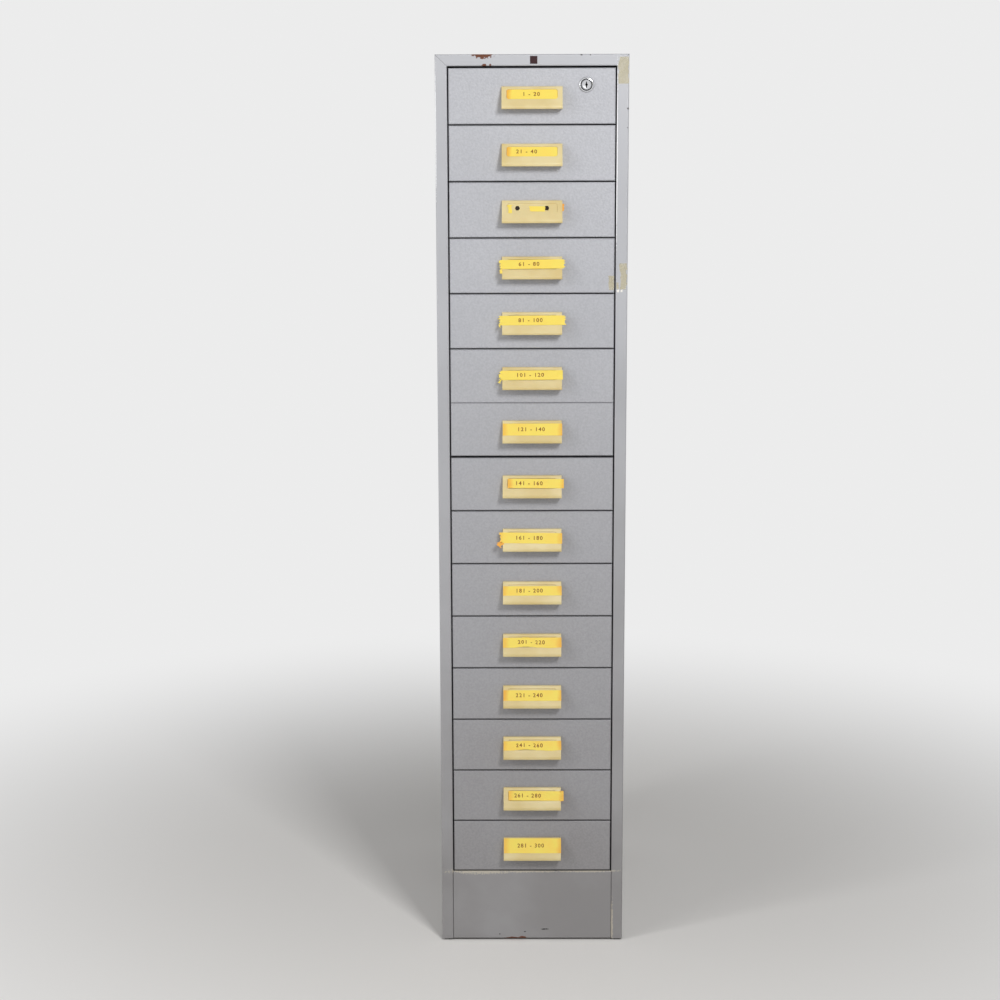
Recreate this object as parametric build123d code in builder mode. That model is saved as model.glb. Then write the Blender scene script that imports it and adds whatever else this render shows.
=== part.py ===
# A tall, narrow steel stationery cabinet with fifteen shallow drawers.
# Millimetres. +Z is up, the drawers open towards -Y, and +X is to the right of someone
# who stands in front. The origin is on the floor, under the middle of the whole cabinet.
from build123d import *
from math import hypot
import os

os.makedirs("parts", exist_ok=True)

# ---------------------------------------------------------------------------
# Driving dimensions
# ---------------------------------------------------------------------------

# Cabinet body: folded sheet steel
width = 280
depth = 410
sheet = 1.0
bend = 1.5              # radius of a fold, at the middle of the sheet
stile_face = 17.5
stile_return = 32       # how far a stile's inner edge is folded back
rail_face = 16.7
rail_lip = 14           # how far the top rail's lower edge is folded back
rear_flange = 12
foot_flange = 24
plinth_height = 113.9
plinth_gap = 0.3        # between the plinth panel and each stile
plinth_lap = 60         # how far the plinth's top flange laps over the base pan
base_flange = 15
upright_depth = 30

# Glide feet
glide_height = 3
glide_radius = 10
glide_stem_radius = 3
glide_stem = 6
glide_clearance = 0.2
glide_inset = 13        # from the side panel's outer face
glide_front = 48        # from the cabinet's front face
glide_back = 40         # from the cabinet's back face

# Drawers
drawer_count = 15
drawer_pitch = 81.4
front_gap = 2           # between two drawer fronts
rail_gap = 2.8          # between the top drawer's front and the rail
side_gap = 2            # between a drawer front and a stile
front_depth = 14        # of the folded pan that makes a drawer's front
front_bevel = 1.2       # the pan's front edges are folded tight
tray_sheet = 0.8
tray_height = 62
tray_side_gap = 13      # from a tray's wall to the stile's inner edge
tray_back_gap = 10
flange_side_gap = 2.5   # from the tray's flange to the stile's inner edge
flange_drop = 7         # height of the flange's down-turned edge
high_drawer = 7         # this drawer hangs in its runners a little too high
high_drawer_lift = 1.5

# Runners
runner_reach = 11.5     # from the stile's inner edge to the free edge of a runner's leg
runner_start = 19       # from the cabinet's front face
runner_clearance = 0.3

# Label pulls
pull_width = 88
pull_height = 32
pull_drop = 25.8        # from the top of a drawer front to the top of its pull
pull_lip = 3.5          # how far the pull stands out at its top
pull_knee = 15          # how far it stands out at the ridge below the label
pull_knee_drop = 20.8
pull_reach = 18.5       # how far it stands out at its bottom edge
pull_rim = 4            # height of the upright rim at its bottom edge
pull_cheek = 2
pull_back = 1.5
pull_wall = 3
pull_skirt_wall = 2
pull_round = 0.8        # bevel along the pull's outer edges
pocket_drop = 8         # from the pull's top to the roof of the finger hood
window_top = 3.8        # from the pull's top to the label window, measured upright
window_width = 74
window_height = 16      # the label window and its card lie on the slope
window_corner = 2.5
window_depth = 1.2
card_thickness = 0.4
card_clearance = 0.3

# Screws that hold a pull
screw_spacing = 42.6
screw_drop = 11
screw_radius = 1.5
screw_head_radius = 2.8
screw_head = 1.6
screw_seat = 4          # from the drawer front to the seat of the head
screw_length = 10
screw_clearance = 0.3
screw_pillar_radius = 4.2
screw_sides = 6         # the small screws and their holes are drawn with flats

# Lock on the top drawer
lock_inset = 42.1       # from the right end of the drawer front to the lock's axis
lock_drop = 23.8        # from the top of the drawer front to the lock's axis
lock_ring_radius = 10.7
lock_ring = 2
lock_barrel_radius = 9
lock_barrel_length = 14.5
lock_hole_clearance = 0.2
lock_nut_radius = 13
lock_nut = 4
lock_plug_radius = 6.5
lock_plug_clearance = 0.08
lock_tail = 7           # width of the square tail that drives the cam
lock_tail_clearance = 0.05
lock_tail_end = 1
cam_thickness = 2
cam_radius = 8
cam_tip_radius = 5
cam_length = 34
cam_gap = 1
keyway_width = 1.6
keyway_height = 8
keyway_depth = 9

# Badge on the top rail
badge_x = 2.4
badge_width = 10.5
badge_height = 11
badge_thickness = 0.6
badge_drop = 2.6        # from the cabinet's top

# ---------------------------------------------------------------------------
# Places that several pieces share
# ---------------------------------------------------------------------------

height = plinth_height + drawer_count * drawer_pitch + rail_gap + rail_face
front_y = pull_reach - (depth + pull_reach) / 2
back_y = front_y + depth
skin = sheet / 2
inner_bend = bend - skin
opening_half = width / 2 - stile_face
rail_bottom = height - rail_face
wall_inside = width / 2 - sheet
back_inside = back_y - 2 * sheet
base_top = plinth_height - sheet

front_width = 2 * (opening_half - side_gap)
front_height = drawer_pitch - front_gap
tray_half = opening_half - tray_side_gap
flange_half = opening_half - flange_side_gap
flange_top = sheet + tray_height
tray_end = back_inside - tray_back_gap
tray_bottom_middle = sheet + tray_sheet / 2

pull_top = front_height - pull_drop
pull_slope = (pull_knee - pull_lip) / pull_knee_drop
slope_length = hypot(1, pull_slope)

lock_x = front_width / 2 - lock_inset
lock_z = front_height - lock_drop
barrel_end = front_y + lock_barrel_length
cam_front = barrel_end + cam_gap


def cross_section(y, z=0):
    """An upright plane that faces the front, at depth y, with its origin at level z."""
    return Plane(origin=(0, y, z), x_dir=(1, 0, 0), z_dir=(0, -1, 0))


def front_bottom(number):
    """Level of the lower edge of a drawer's front. Drawer 1 is the top one."""
    level = plinth_height + front_gap + (drawer_count - number) * drawer_pitch
    return level + (high_drawer_lift if number == high_drawer else 0)


def pull_depth(drop):
    """How far the sloping face of a pull stands out, at this distance below its top."""
    return pull_lip + pull_slope * drop


# ---------------------------------------------------------------------------
# Side panels: wall, front stile with its return, rear flange and foot flange
# ---------------------------------------------------------------------------

mitre_x = width / 2 - sheet
stile_middle = opening_half + skin
wall_middle = width / 2 - skin
glide_places = [
    (-(width / 2 - glide_inset), front_y + glide_front),
    (-(width / 2 - glide_inset), back_y - glide_back),
]

with BuildPart() as side_left:
    with BuildSketch(Plane.XY.offset(glide_height)):
        with BuildLine():
            FilletPolyline(
                (-stile_middle, front_y + stile_return),
                (-stile_middle, front_y + skin),
                (-wall_middle, front_y + skin),
                (-wall_middle, back_y - skin),
                (-(width / 2 - rear_flange), back_y - skin),
                radius=bend,
            )
        trace(line_width=sheet)
    extrude(amount=height - sheet - glide_height)
    # The stile ends in a mitre against the top rail.
    with BuildSketch(cross_section(front_y + stile_return + sheet)):
        with BuildLine():
            Polyline(
                (-mitre_x, height),
                (-mitre_x, height - sheet),
                (-opening_half, rail_bottom),
                (-opening_half + sheet, rail_bottom),
                (-opening_half + sheet, height),
                close=True,
            )
        make_face()
    extrude(amount=stile_return + 2 * sheet, mode=Mode.SUBTRACT)
    # The foot flange is folded in at the bottom and takes the glides.
    foot_front = front_y + stile_return + sheet
    foot_back = back_y - rear_flange
    with BuildSketch(Plane.XY.offset(glide_height)):
        with Locations((-(width - foot_flange) / 2, (foot_front + foot_back) / 2)):
            Rectangle(foot_flange, foot_back - foot_front)
        with Locations(*glide_places):
            Circle(glide_stem_radius + glide_clearance, mode=Mode.SUBTRACT)
    extrude(amount=sheet)
side_left.part.label = "side_left"
export_step(side_left.part, "parts/side_left.step")

with BuildPart() as side_right:
    mirror(side_left.part, about=Plane.YZ)
side_right.part.label = "side_right"
export_step(side_right.part, "parts/side_right.step")

# ---------------------------------------------------------------------------
# Top panel: top, front rail with its return lip, and rear flange
# ---------------------------------------------------------------------------

with BuildPart() as top_panel:
    with BuildSketch(Plane.YZ.offset(-width / 2)):
        with BuildLine():
            FilletPolyline(
                (front_y + rail_lip, rail_bottom + skin),
                (front_y + skin, rail_bottom + skin),
                (front_y + skin, height - skin),
                (back_y - skin, height - skin),
                (back_y - skin, height - rear_flange),
                radius=bend,
            )
        trace(line_width=sheet)
    extrude(amount=width)
    # The rail's ends are mitred, and its lip fits between the stiles.
    with BuildSketch(cross_section(front_y + rail_lip + sheet)):
        with BuildLine():
            Polyline(
                (-width / 2 - sheet, height - sheet),
                (-mitre_x, height - sheet),
                (-opening_half, rail_bottom),
                (-opening_half, rail_bottom - sheet),
                (-width / 2 - sheet, rail_bottom - sheet),
                close=True,
            )
        make_face()
        mirror(about=Plane.YZ)
    extrude(amount=rail_lip + 2 * sheet, mode=Mode.SUBTRACT)
    # The rear flange fits between the side panels' rear flanges.
    with BuildSketch(cross_section(back_y + sheet)):
        with Locations(
            (-width / 2, height - sheet - rear_flange / 2),
            (width / 2, height - sheet - rear_flange / 2),
        ):
            Rectangle(2 * rear_flange, rear_flange)
    extrude(amount=2 * sheet + bend, mode=Mode.SUBTRACT)
top_panel.part.label = "top_panel"
export_step(top_panel.part, "parts/top_panel.step")

# ---------------------------------------------------------------------------
# Back panel, welded inside the rear flanges
# ---------------------------------------------------------------------------

back_height = height - sheet - inner_bend - glide_height

with BuildPart() as back_panel:
    with BuildSketch(cross_section(back_y - sheet, glide_height + back_height / 2)):
        Rectangle(2 * (wall_inside - inner_bend), back_height)
    extrude(amount=sheet)
back_panel.part.label = "back_panel"
export_step(back_panel.part, "parts/back_panel.step")

# ---------------------------------------------------------------------------
# Base pan under the lowest drawer, with its edges folded down
# ---------------------------------------------------------------------------

base_front = front_y + stile_return + sheet
base_edge = wall_inside - skin
base_level = base_top - skin

with BuildPart() as base_pan:
    with BuildSketch(cross_section(back_inside)):
        with BuildLine():
            FilletPolyline(
                (-base_edge, base_top - base_flange),
                (-base_edge, base_level),
                (base_edge, base_level),
                (base_edge, base_top - base_flange),
                radius=bend,
            )
        trace(line_width=sheet)
    extrude(amount=back_inside - base_front)
base_pan.part.label = "base_pan"
export_step(base_pan.part, "parts/base_pan.step")

# ---------------------------------------------------------------------------
# Plinth panel between the stiles
# ---------------------------------------------------------------------------

plinth_half = opening_half - plinth_gap

with BuildPart() as plinth:
    with BuildSketch(Plane.YZ.offset(-plinth_half)):
        with BuildLine():
            FilletPolyline(
                (front_y + rail_lip, glide_height + skin),
                (front_y + skin, glide_height + skin),
                (front_y + skin, plinth_height - skin),
                (front_y + plinth_lap, plinth_height - skin),
                radius=bend,
            )
        trace(line_width=sheet)
    extrude(amount=2 * plinth_half)
plinth.part.label = "plinth"
export_step(plinth.part, "parts/plinth.step")

# ---------------------------------------------------------------------------
# Rear uprights, two folded channels that carry the runners' rear ends
# ---------------------------------------------------------------------------

upright_rear = back_inside - skin
upright_front = back_inside - upright_depth + skin

with BuildPart() as rear_uprights:
    with BuildSketch(Plane.XY.offset(base_top)):
        with BuildLine():
            Polyline(
                (-wall_inside, upright_rear),
                (-stile_middle, upright_rear),
                (-stile_middle, upright_front),
                (-wall_inside, upright_front),
            )
        trace(line_width=sheet)
        mirror(about=Plane.YZ)
    extrude(amount=height - sheet - base_top)
rear_uprights.part.label = "rear_uprights"
export_step(rear_uprights.part, "parts/rear_uprights.step")

# ---------------------------------------------------------------------------
# Runners: a folded channel on each side of each drawer, welded to stile and upright
# ---------------------------------------------------------------------------

channel_top = flange_top + runner_clearance + skin
channel_bottom = flange_top - flange_drop - runner_clearance - skin
runner_free_edge = opening_half - runner_reach
runner_front = front_y + runner_start

with BuildPart() as runners_left:
    for number in range(1, drawer_count + 1):
        with BuildSketch(cross_section(back_inside, front_bottom(number))):
            with BuildLine():
                Polyline(
                    (-runner_free_edge, channel_top),
                    (-opening_half + skin, channel_top),
                    (-opening_half + skin, channel_bottom),
                    (-runner_free_edge, channel_bottom),
                )
            trace(line_width=sheet)
        extrude(amount=back_inside - runner_front)
runners_left.part.label = "runners_left"
export_step(runners_left.part, "parts/runners_left.step")

with BuildPart() as runners_right:
    mirror(runners_left.part, about=Plane.YZ)
runners_right.part.label = "runners_right"
export_step(runners_right.part, "parts/runners_right.step")

# ---------------------------------------------------------------------------
# Glide feet: a pad under each corner, its stem pushed through the foot flange
# ---------------------------------------------------------------------------

with BuildPart() as glide_feet:
    with BuildSketch():
        with Locations(*glide_places):
            Circle(glide_radius)
        mirror(about=Plane.YZ)
    extrude(amount=glide_height)
    with BuildSketch(Plane.XY.offset(glide_height)):
        with Locations(*glide_places):
            Circle(glide_stem_radius)
        mirror(about=Plane.YZ)
    extrude(amount=glide_stem)
glide_feet.part.label = "glide_feet"
export_step(glide_feet.part, "parts/glide_feet.step")

# ---------------------------------------------------------------------------
# Badge plate on the top rail, bare
# ---------------------------------------------------------------------------

badge_level = height - badge_drop - badge_height / 2

with BuildPart() as badge_plate:
    with BuildSketch(cross_section(front_y, badge_level)):
        with Locations((badge_x, 0)):
            Rectangle(badge_width, badge_height)
    extrude(amount=badge_thickness)
badge_plate.part.label = "badge_plate"
export_step(badge_plate.part, "parts/badge_plate.step")

# ---------------------------------------------------------------------------
# One drawer, with the lower edge of its front at level 0
# ---------------------------------------------------------------------------

screw_places = [(-screw_spacing / 2, pull_top - screw_drop), (screw_spacing / 2, pull_top - screw_drop)]

# Front: a shallow pan with eased front edges, open at the back
with BuildPart() as front_pan:
    with BuildSketch(cross_section(front_y + front_depth, front_height / 2)):
        Rectangle(front_width, front_height)
    extrude(amount=front_depth)
    front_face = front_pan.faces().sort_by(Axis.Y)[0]
    chamfer(front_face.edges(), length=front_bevel)
    offset(amount=-sheet, openings=front_pan.faces().sort_by(Axis.Y)[-1])
    with BuildSketch(cross_section(front_y + sheet)):
        with Locations(*screw_places):
            RegularPolygon(screw_radius + screw_clearance, screw_sides, major_radius=False)
    extrude(amount=sheet, mode=Mode.SUBTRACT)

# Tray: floor and walls, side flanges turned out and down, and a rear wall
wall_line = tray_half - tray_sheet / 2
flange_line = flange_half - tray_sheet / 2
flange_level = flange_top - tray_sheet / 2
tray_start = front_y + sheet
rear_wall_height = flange_level - tray_bottom_middle

with BuildPart() as tray:
    with BuildSketch(cross_section(tray_end)):
        with BuildLine():
            Polyline(
                (-flange_line, flange_top - flange_drop),
                (-flange_line, flange_level),
                (-wall_line, flange_level),
                (-wall_line, tray_bottom_middle),
                (wall_line, tray_bottom_middle),
                (wall_line, flange_level),
                (flange_line, flange_level),
                (flange_line, flange_top - flange_drop),
            )
        trace(line_width=tray_sheet)
    extrude(amount=tray_end - tray_start)
    with BuildSketch(cross_section(tray_end, tray_bottom_middle + rear_wall_height / 2)):
        Rectangle(2 * wall_line, rear_wall_height)
    extrude(amount=tray_sheet)
    # Behind the pan the flanges ride in the runners; within it they are cut away.
    flange_span = flange_half - tray_half
    with BuildSketch(cross_section(front_y + front_depth, flange_top - flange_drop / 2)):
        with Locations((-flange_half + flange_span / 2, 0), (flange_half - flange_span / 2, 0)):
            Rectangle(flange_span, flange_drop + 2 * tray_sheet)
    extrude(amount=front_depth, mode=Mode.SUBTRACT)

# Pull: the room under the hood, with the two screw pillars left standing in it
with BuildPart() as finger_room:
    with BuildSketch(Plane.YZ):
        with BuildLine():
            Polyline(
                (front_y - pull_back, pull_top - pull_height - pull_skirt_wall),
                (front_y - pull_back, pull_top - pocket_drop),
                (front_y - pull_depth(pocket_drop) + pull_wall * slope_length, pull_top - pocket_drop),
                (front_y - pull_knee + pull_wall * slope_length, pull_top - pull_knee_drop),
                (front_y - pull_reach + pull_skirt_wall, pull_top - pull_height + pull_rim),
                (front_y - pull_reach + pull_skirt_wall, pull_top - pull_height - pull_skirt_wall),
                close=True,
            )
        make_face()
    extrude(amount=pull_width / 2 - pull_cheek, both=True)
    with BuildSketch(cross_section(front_y)):
        with Locations(*screw_places):
            RegularPolygon(screw_pillar_radius, screw_sides)
    extrude(amount=pull_reach, mode=Mode.SUBTRACT)

label_drop = window_top + window_height / slope_length / 2
label_plane = Plane(
    origin=(0, front_y - pull_depth(label_drop), pull_top - label_drop),
    x_dir=(1, 0, 0),
    z_dir=(0, -1, pull_slope),
)

with BuildPart() as pull:
    with BuildSketch(Plane.YZ) as pull_outline:
        with BuildLine():
            Polyline(
                (front_y, pull_top),
                (front_y - pull_lip, pull_top),
                (front_y - pull_knee, pull_top - pull_knee_drop),
                (front_y - pull_reach, pull_top - pull_height + pull_rim),
                (front_y - pull_reach, pull_top - pull_height),
                (front_y, pull_top - pull_height),
                close=True,
            )
        make_face()
        outer_corners = pull_outline.vertices().sort_by(Axis.X)[0:4]
        chamfer(outer_corners, length=pull_round)
    extrude(amount=pull_width / 2, both=True)
    add(finger_room.part, mode=Mode.SUBTRACT)
    # The label's window is a shallow recess in the slope; the screws hide behind the label.
    with BuildSketch(label_plane):
        window = Rectangle(window_width, window_height)
        chamfer(window.vertices(), length=window_corner)
    extrude(amount=-window_depth, mode=Mode.SUBTRACT)
    with BuildSketch(cross_section(front_y)):
        with Locations(*screw_places):
            RegularPolygon(screw_radius + screw_clearance, screw_sides, major_radius=False)
    extrude(amount=pull_reach, mode=Mode.SUBTRACT)
    with BuildSketch(cross_section(front_y - screw_seat)):
        with Locations(*screw_places):
            RegularPolygon(screw_head_radius + screw_clearance, screw_sides, major_radius=False)
    extrude(amount=pull_reach, mode=Mode.SUBTRACT)

# Screws: head on its seat in the pull, shank through the pan
with BuildPart() as pull_screws:
    with BuildSketch(cross_section(front_y - screw_seat)):
        with Locations(*screw_places):
            RegularPolygon(screw_head_radius, screw_sides)
    extrude(amount=screw_head)
    with BuildSketch(cross_section(front_y - screw_seat)):
        with Locations(*screw_places):
            RegularPolygon(screw_radius, screw_sides)
    extrude(amount=-screw_length)

# Label card on the floor of its window
with BuildPart() as label_card:
    with BuildSketch(label_plane.offset(-window_depth)):
        card_width = window_width - 2 * card_clearance
        card_height = window_height - 2 * card_clearance
        card = Rectangle(card_width, card_height)
        chamfer(card.vertices(), length=window_corner)
    extrude(amount=card_thickness)

# The top drawer's front also has the lock's hole.
with BuildPart() as lock_front_pan:
    add(front_pan.part)
    with BuildSketch(cross_section(front_y + sheet, lock_z)):
        with Locations((lock_x, 0)):
            Circle(lock_barrel_radius + lock_hole_clearance)
    extrude(amount=sheet, mode=Mode.SUBTRACT)

for number in range(1, drawer_count + 1):
    place = Location((0, 0, front_bottom(number)))
    drawer = f"drawer_{number:02d}"
    pan = lock_front_pan if number == 1 else front_pan
    box = Compound(children=[pan.part.moved(place), tray.part.moved(place)])
    box.label = f"{drawer}_box"
    export_step(box, f"parts/{drawer}_box.step")
    held_pull = Compound(children=[pull.part.moved(place), pull_screws.part.moved(place)])
    held_pull.label = f"{drawer}_pull"
    export_step(held_pull, f"parts/{drawer}_pull.step")
    label = label_card.part.moved(place)
    label.label = f"{drawer}_label"
    export_step(label, f"parts/{drawer}_label.step")

# ---------------------------------------------------------------------------
# Lock: barrel and nut in the top drawer's front, and the plug that turns the cam
# ---------------------------------------------------------------------------

lock_level = front_bottom(1) + lock_z
bore_radius = lock_plug_radius + lock_plug_clearance


def lock_section(y):
    """An upright plane at depth y, with its origin on the lock's axis."""
    return Plane(origin=(lock_x, y, lock_level), x_dir=(1, 0, 0), z_dir=(0, -1, 0))


with BuildPart() as lock_barrel:
    with BuildSketch(lock_section(front_y)):
        Circle(lock_ring_radius)
    extrude(amount=lock_ring)
    chamfer(lock_barrel.edges().sort_by(Axis.Y)[0], length=lock_ring / 2)
    with BuildSketch(lock_section(barrel_end)):
        Circle(lock_barrel_radius)
    extrude(amount=lock_barrel_length)
    with BuildSketch(lock_section(barrel_end)):
        Circle(bore_radius)
    extrude(amount=lock_barrel_length + lock_ring, mode=Mode.SUBTRACT)
lock_barrel.part.label = "lock_barrel"
export_step(lock_barrel.part, "parts/lock_barrel.step")

with BuildPart() as lock_nut_ring:
    with BuildSketch(lock_section(front_y + sheet + lock_nut)):
        RegularPolygon(lock_nut_radius, 6)
        Circle(lock_barrel_radius, mode=Mode.SUBTRACT)
    extrude(amount=lock_nut)
lock_nut_ring.part.label = "lock_nut"
export_step(lock_nut_ring.part, "parts/lock_nut.step")

with BuildPart() as lock_plug:
    with BuildSketch(lock_section(cam_front)):
        Circle(lock_plug_radius)
    extrude(amount=cam_front - front_y + lock_ring)
    with BuildSketch(lock_section(cam_front)):
        Rectangle(lock_tail, lock_tail)
    extrude(amount=-(cam_thickness + lock_tail_end))
    with BuildSketch(lock_section(front_y - lock_ring)):
        Rectangle(keyway_width, keyway_height)
    extrude(amount=-keyway_depth, mode=Mode.SUBTRACT)
lock_plug.part.label = "lock_plug"
export_step(lock_plug.part, "parts/lock_plug.step")

# The cam lies sideways when the drawer is free, and turns up behind the rail to lock it.
with BuildPart() as lock_cam:
    with BuildSketch(lock_section(cam_front + cam_thickness)):
        Circle(cam_radius)
        with Locations((cam_tip_radius - cam_length, 0)):
            Circle(cam_tip_radius)
        make_hull()
        tail_hole = lock_tail + 2 * lock_tail_clearance
        Rectangle(tail_hole, tail_hole, mode=Mode.SUBTRACT)
    extrude(amount=cam_thickness)
lock_cam.part.label = "lock_cam"
export_step(lock_cam.part, "parts/lock_cam.step")
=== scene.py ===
import bpy
from math import atan2, pi, radians
from mathutils import Matrix, Vector
import random


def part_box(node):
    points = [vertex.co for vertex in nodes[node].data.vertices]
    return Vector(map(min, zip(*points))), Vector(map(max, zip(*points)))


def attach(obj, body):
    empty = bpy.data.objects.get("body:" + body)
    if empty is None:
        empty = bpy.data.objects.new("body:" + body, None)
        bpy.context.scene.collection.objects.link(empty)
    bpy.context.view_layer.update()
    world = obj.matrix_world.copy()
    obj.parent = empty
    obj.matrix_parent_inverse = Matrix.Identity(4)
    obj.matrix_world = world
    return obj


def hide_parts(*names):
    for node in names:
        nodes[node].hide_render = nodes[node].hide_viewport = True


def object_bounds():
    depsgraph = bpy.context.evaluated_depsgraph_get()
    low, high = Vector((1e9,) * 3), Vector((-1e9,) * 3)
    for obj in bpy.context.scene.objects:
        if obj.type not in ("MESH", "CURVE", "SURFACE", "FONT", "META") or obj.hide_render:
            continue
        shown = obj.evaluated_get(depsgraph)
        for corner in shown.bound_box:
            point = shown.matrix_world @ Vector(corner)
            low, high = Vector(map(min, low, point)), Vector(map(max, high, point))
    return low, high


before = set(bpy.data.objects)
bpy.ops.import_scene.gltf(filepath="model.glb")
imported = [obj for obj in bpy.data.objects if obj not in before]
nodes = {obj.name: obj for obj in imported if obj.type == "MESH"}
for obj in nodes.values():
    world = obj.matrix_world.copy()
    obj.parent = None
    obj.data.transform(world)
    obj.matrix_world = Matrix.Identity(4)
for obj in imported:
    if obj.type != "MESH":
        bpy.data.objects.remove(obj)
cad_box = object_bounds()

bpy.ops.object.select_all(action="DESELECT")

# ---------------------------------------------------------------------------
# Cabinet body
# The real one is folded and spot-welded sheet steel, sprayed with a smooth grey stoved
# enamel. Decades of use left rust where the top rail was knocked, rubbed edges on the
# plinth and specks on the stiles. Painted on as well: highlights along three folds, painted
# shade in the gaps round the drawer fronts, and darkening towards the floor that is partly
# dust and partly painted shade.
# ---------------------------------------------------------------------------

MM = 0.001
CABINET_GREY = "#B3B4B8"
CABINET_GREY_WORN = "#ABACB0"
RUST = "#7A4A33"
RUST_DARK = "#4E3128"
PRIMER_AND_HIGHLIGHT_PALE = "#D9D5C9"
# Painted highlight colour for the folds.
PAINTED_HIGHLIGHT_WHITE = "#F2F3F4"
# Painted shade for the folds behind the gaps round the drawer fronts.
GAP_PAINTED_SHADE = "#4A4A4B"
GAP_START_MM = 2.0
GAP_END_MM = 34.0
OUTER_SKIN_MM = 1.5
GAP_SHADE_SHARE = 0.85
SPECK = "#4B4A4C"
ORANGE_PEEL_MM = 3.0
ALUMINIUM_FLAKE = 0.2
FLOOR_DUST_AND_SHADE = "#D1CDC9"
DUST_AND_SHADE_TOP_MM = 1000.0
CLOUD_MM = 160.0


def srgb(code):
    """A colour written as #RRGGBB in sRGB, as linear RGBA."""
    parts = [int(code[at:at + 2], 16) / 255 for at in (1, 3, 5)]
    linear = [part / 12.92 if part <= 0.04045 else ((part + 0.055) / 1.055) ** 2.4 for part in parts]
    return (*linear, 1.0)


def add_node(tree, kind, inputs=None, **settings):
    """One node with its settings; inputs maps a socket to a value or to another node's output."""
    made = tree.nodes.new(kind)
    for name, value in settings.items():
        setattr(made, name, value)
    for name, value in (inputs or {}).items():
        if isinstance(value, bpy.types.NodeSocket):
            tree.links.new(value, made.inputs[name])
        else:
            made.inputs[name].default_value = value
    return made


def new_material(name):
    """An empty material with an output and a Principled shader, and its node tree."""
    made = bpy.data.materials.new(name)
    made.use_nodes = True
    tree = made.node_tree
    tree.nodes.clear()
    shader = add_node(tree, "ShaderNodeBsdfPrincipled")
    add_node(tree, "ShaderNodeOutputMaterial", {"Surface": shader.outputs["BSDF"]})
    return made, tree, shader


def mix_colour(tree, factor, low, high, blend="MIX"):
    """Colour output of low and high mixed by factor."""
    made = add_node(tree, "ShaderNodeMix", {0: factor, 6: low, 7: high}, data_type="RGBA", blend_type=blend)
    return made.outputs[2]


def spot_mask(tree, place, centre, half, ragged=0.45, grain_mm=2.0):
    """1 inside a ragged ellipsoid: centre and half sizes in millimetres, in the cabinet's own frame."""
    shift = add_node(tree, "ShaderNodeVectorMath", {0: place, 1: [v * MM for v in centre]}, operation="SUBTRACT")
    scale = add_node(tree, "ShaderNodeVectorMath", {0: shift.outputs[0], 1: [1 / (v * MM) for v in half]},
                     operation="MULTIPLY")
    reach = add_node(tree, "ShaderNodeVectorMath", {0: scale.outputs[0]}, operation="LENGTH")
    grain = add_node(tree, "ShaderNodeTexNoise", {"Vector": place, "Scale": 1 / (grain_mm * MM), "Detail": 3.0})
    rough = add_node(tree, "ShaderNodeMapRange", {0: grain.outputs[0], 1: 0.3, 2: 0.7, 3: -ragged, 4: ragged})
    total = add_node(tree, "ShaderNodeMath", {0: reach.outputs[1], 1: rough.outputs[0]}, operation="ADD")
    made = add_node(tree, "ShaderNodeMapRange", {0: total.outputs[0], 1: 0.92, 2: 1.06, 3: 1.0, 4: 0.0})
    return made.outputs[0]


def any_mask(tree, masks):
    """The largest of several masks."""
    result = masks[0]
    for mask in masks[1:]:
        result = add_node(tree, "ShaderNodeMath", {0: result, 1: mask}, operation="MAXIMUM").outputs[0]
    return result


def floor_dust_and_shade(tree, place):
    """How much dust and painted shade darken the paint: nothing at chest height, most near the floor, in soft
    clouds.
    """
    level = add_node(tree, "ShaderNodeSeparateXYZ", {0: place})
    low = add_node(tree, "ShaderNodeMapRange", {0: level.outputs[2], 1: DUST_AND_SHADE_TOP_MM * MM, 2: 0.0, 3: 0.0, 4: 1.0})
    cloud = add_node(tree, "ShaderNodeTexNoise", {"Vector": place, "Scale": 1000 / CLOUD_MM, "Detail": 4.0})
    uneven = add_node(tree, "ShaderNodeMapRange", {0: cloud.outputs[0], 1: 0.3, 2: 0.7, 3: 0.8, 4: 1.2})
    made = add_node(tree, "ShaderNodeMath", {0: low.outputs[0], 1: uneven.outputs[0]}, operation="MULTIPLY")
    return made.outputs[0]


cabinet_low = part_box("side_left")[0]
front_face = cabinet_low.y / MM
top_level = cad_box[1][2] / MM
plinth_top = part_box("plinth")[1].z / MM
cabinet_half = -cabinet_low.x / MM

# Worn places and painted highlights: the middle of each and its half sizes, in millimetres.
rust_chips = [
    ((-70.5, front_face, top_level + 1.5), (15.5, 9, 7.6)),
    ((-69.0, front_face, top_level - 15.4), (3.4, 5, 1.9)),
    ((-60.0, front_face, top_level - 15.2), (1.7, 5, 1.7)),
    ((-30.0, front_face, 3.2), (13, 6, 2.4)),
    ((-15.0, front_face, 4.5), (5, 6, 2.2)),
]
primer_rubs_and_fold_highlight = [
    ((-80.0, front_face, plinth_top), (48, 6, 4.0)),
    ((-5.0, front_face, plinth_top + 0.6), (60, 6, 2.6)),
    ((85.0, front_face, plinth_top + 0.4), (42, 6, 2.2)),
    # The next place is no wear but a painted highlight along the right stile's inner fold beside the plinth.
    ((124.0, front_face, 24.0), (1.6, 6, 34)),
]
specks = [
    ((138.4, front_face, top_level - 77.2), (1.2, 4, 1.2)),
    ((138.4, front_face, top_level - 104.6), (1.0, 4, 1.0)),
    ((19.9, front_face, 18.2), (6.0, 4, 1.0)),
    ((-11.4, front_face, 14.0), (1.6, 4, 1.1)),
    ((-50.6, front_face, 10.0), (1.2, 4, 1.0)),
    ((71.0, front_face, top_level - 1.0), (1.4, 4, 1.0)),
    ((84.0, front_face, top_level - 1.2), (1.0, 4, 0.8)),
]
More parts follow.
